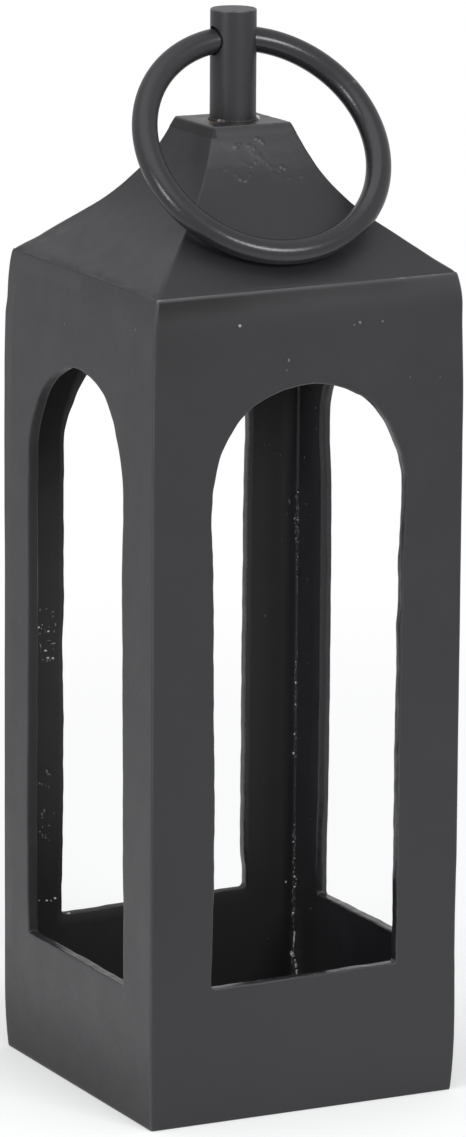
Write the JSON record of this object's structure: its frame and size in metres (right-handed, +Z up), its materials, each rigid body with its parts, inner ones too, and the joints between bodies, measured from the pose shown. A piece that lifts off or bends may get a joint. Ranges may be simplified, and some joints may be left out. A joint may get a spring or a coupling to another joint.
{
  "type": "candle lantern",
  "caption": "Tall square metal candle lantern with an arched open window in each wall, a hipped roof swept up to a flat cap, and a swinging carrying ring through a post on top.",
  "frame": {"origin": "centre of the base, on the surface that the lantern stands on", "axes": "+Z up through the post; -Y is the front wall, over which the ring rests; +X to the right seen from the front"},
  "size_m": [0.127, 0.127, 0.404],
  "materials": {
    "wall_metal": "blackened gunmetal, semi-matte, slightly mottled",
    "roof_metal": "blackened gunmetal, satin",
    "cap_metal": "blackened gunmetal, satin, worn lighter",
    "floor_metal": "blackened metal, matte",
    "post_metal": "blackened gunmetal, satin",
    "ring_metal": "blackened gunmetal, semi-gloss",
    "seam_metal": "rough weld bead, blackened",
    "foot_weld_metal": "rough weld bead, browned by heat",
    "ring_weld_metal": "dressed weld, satin"
  },
  "bodies": {
    "lantern": {"front_wall": "wall_metal", "right_wall": "wall_metal", "back_wall": "wall_metal", "left_wall": "wall_metal", "floor_plate": "floor_metal", "roof_front": "roof_metal", "roof_right": "roof_metal", "roof_back": "roof_metal", "roof_left": "roof_metal", "cap_plate": "cap_metal", "hanging_post": "post_metal", "corner_weld_front_left": "seam_metal", "corner_weld_front_right": "seam_metal", "corner_weld_back_right": "seam_metal", "corner_weld_back_left": "seam_metal", "eave_weld": "seam_metal", "floor_tacks": "seam_metal", "post_weld": "foot_weld_metal"},
    "ring": {"carrying_ring": "ring_metal", "ring_weld": "ring_weld_metal"}
  },
  "joints": [
    {"name": "ring_swing", "type": "hinge", "parent": "lantern", "child": "ring", "pos_m": [0, 0, 0.3923], "axis": [-0.9981, 0.061, 0], "range_deg": [0, 284.66]}
  ]
}
